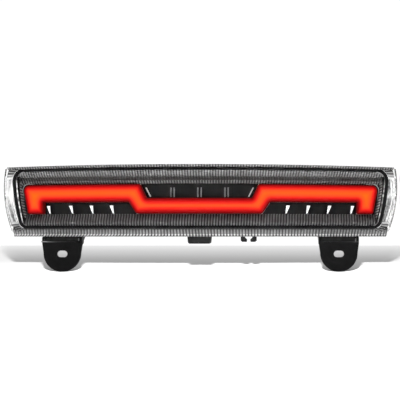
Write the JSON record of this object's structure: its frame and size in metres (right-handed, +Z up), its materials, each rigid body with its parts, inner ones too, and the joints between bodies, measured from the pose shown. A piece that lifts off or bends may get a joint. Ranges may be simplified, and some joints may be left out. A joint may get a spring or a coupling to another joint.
{
  "type": "third brake light",
  "caption": "Wide bowed high-mount brake lamp with a clear fluted lens, red lit bar, dark fin panels and two slotted mounting ears.",
  "frame": {"origin": "midpoint between the two bracket slots, on the brackets' rear seating face", "axes": "+X right seen from the front, +Z up, the lens faces -Y; +Y is the seating faces' outward normal"},
  "size_m": [0.42, 0.0685, 0.1124],
  "materials": {
    "clear_lens": "clear polycarbonate, fluted",
    "black_bead": "black bonding bead",
    "black_plastic": "black, fine grain",
    "bezel_black": "black, satin",
    "red_bar": "red diffuser, lit",
    "white_plastic": "white reflector plastic",
    "board_green": "circuit board",
    "led_body": "LED package",
    "chip_black": "moulded chip",
    "bright_fins": "vacuum-metallised",
    "plated_steel": "zinc plated",
    "black_rubber": "EPDM",
    "can_aluminium": "capacitor can",
    "connector_black": "black nylon",
    "tinned_brass": "tinned",
    "wire_sheath": "wire insulation",
    "bracket_black": "black glass-filled nylon",
    "insert_brass": "knurled insert",
    "membrane_white": "breather membrane"
  },
  "bodies": {
    "root": {"outer_lens": "clear_lens", "lens_seal": "black_bead", "rear_housing": "black_plastic", "inner_bezel": "bezel_black", "light_bar_diffuser": "red_bar", "light_bar_tray": "white_plastic", "bar_circuit_board": "board_green", "bar_leds": "led_body", "bar_resistors": "chip_black", "left_fin_strip": "bright_fins", "right_fin_strip": "bright_fins", "centre_fin_strip": "bright_fins", "bezel_screws": "plated_steel", "bezel_screw_seals": "black_rubber", "tray_screws": "plated_steel", "driver_board": "board_green", "driver_screws": "plated_steel", "driver_capacitors": "can_aluminium", "driver_regulator": "chip_black", "driver_diode": "chip_black", "connector_shroud": "connector_black", "terminal_pins": "tinned_brass", "connector_seal": "black_rubber", "connector_screws": "plated_steel", "supply_wires": "wire_sheath", "bar_feed_wires": "wire_sheath", "left_mounting_bracket": "bracket_black", "right_mounting_bracket": "bracket_black", "bracket_screws": "plated_steel", "bracket_inserts": "insert_brass", "harness_clip": "connector_black", "vent_membrane": "membrane_white", "vent_cap": "connector_black"}
  },
  "joints": []
}
